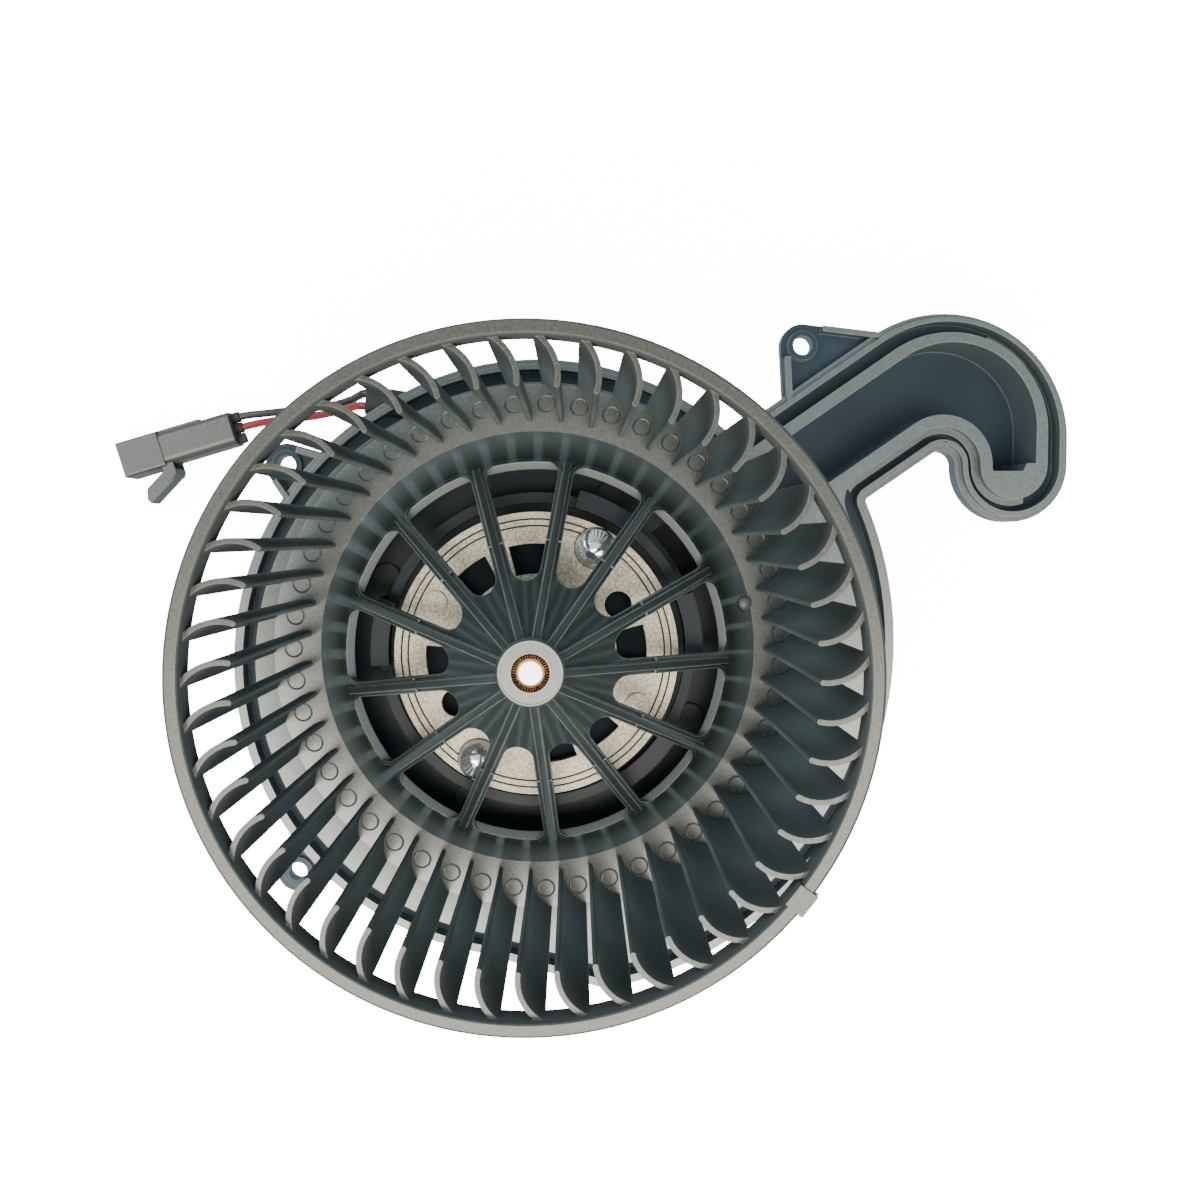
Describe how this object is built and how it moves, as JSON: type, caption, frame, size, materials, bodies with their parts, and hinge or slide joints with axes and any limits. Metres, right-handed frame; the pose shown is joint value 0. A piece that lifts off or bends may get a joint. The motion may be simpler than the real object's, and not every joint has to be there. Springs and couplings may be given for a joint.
{
  "type": "heater blower motor",
  "caption": "Squirrel-cage blower wheel on a direct-current motor, carried by a scroll plate with a J-shaped cooling duct, mounting ears, rear cover and a wired connector.",
  "frame": {"origin": "centre of the rear cover's flat face, on the shaft axis", "axes": "+Z along the shaft towards the wheel's inlet, +X and +Y across, the duct arm lies between +X and +Y"},
  "size_m": [0.3511, 0.2422, 0.1609],
  "materials": {
    "grey_moulding": "satin moulded plastic, slightly glossy",
    "black_moulding": "satin black moulded plastic",
    "steel": "ground steel",
    "plated_steel": "zinc-plated pressed steel",
    "bright_steel": "bright plated steel",
    "bronze": "sintered bronze",
    "copper": "copper",
    "magnet": "dark ferrite",
    "laminations": "stacked steel sheets",
    "fibre": "pressed board",
    "carbon": "pressed carbon",
    "rubber": "soft black rubber",
    "red_insulation": "red wire insulation",
    "black_insulation": "black wire insulation",
    "connector_plastic": "grey moulded plastic"
  },
  "bodies": {
    "root": {"motor_can": "plated_steel", "front_end_plate": "plated_steel", "tie_bolts": "bright_steel", "front_bearing": "bronze", "rear_bearing": "bronze", "bearing_retainers": "steel", "field_magnets": "magnet", "brush_card": "fibre", "brush_holders": "bronze", "brushes": "carbon", "brush_springs": "steel", "front_isolator": "rubber", "rear_isolator": "rubber", "scroll_plate": "black_moulding", "rear_cover": "black_moulding", "cover_screws": "plated_steel", "lead_grommet": "rubber", "red_lead": "red_insulation", "black_lead": "black_insulation", "connector_housing": "connector_plastic", "connector_terminals": "bronze", "wire_seals": "rubber"},
    "rotor": {"blower_wheel": "grey_moulding", "hub_bush": "bronze", "motor_shaft": "steel", "balance_clip": "steel", "balance_pin": "plated_steel", "armature_core": "laminations", "armature_winding": "copper", "commutator": "copper", "thrust_washers": "fibre"},
    "latch": {"connector_latch": "connector_plastic"}
  },
  "joints": [
    {"name": "wheel_spin", "type": "hinge", "parent": "root", "child": "rotor", "pos_m": [0, 0, 0], "axis": [0, 0, 1], "continuous": true},
    {"name": "latch_press", "type": "hinge", "parent": "root", "child": "latch", "pos_m": [-0.14261, 0.0635, 0.0069], "axis": [0, 0, -1], "range_deg": [0, 18], "stiffness_Nm_per_rad": 0.02}
  ]
}
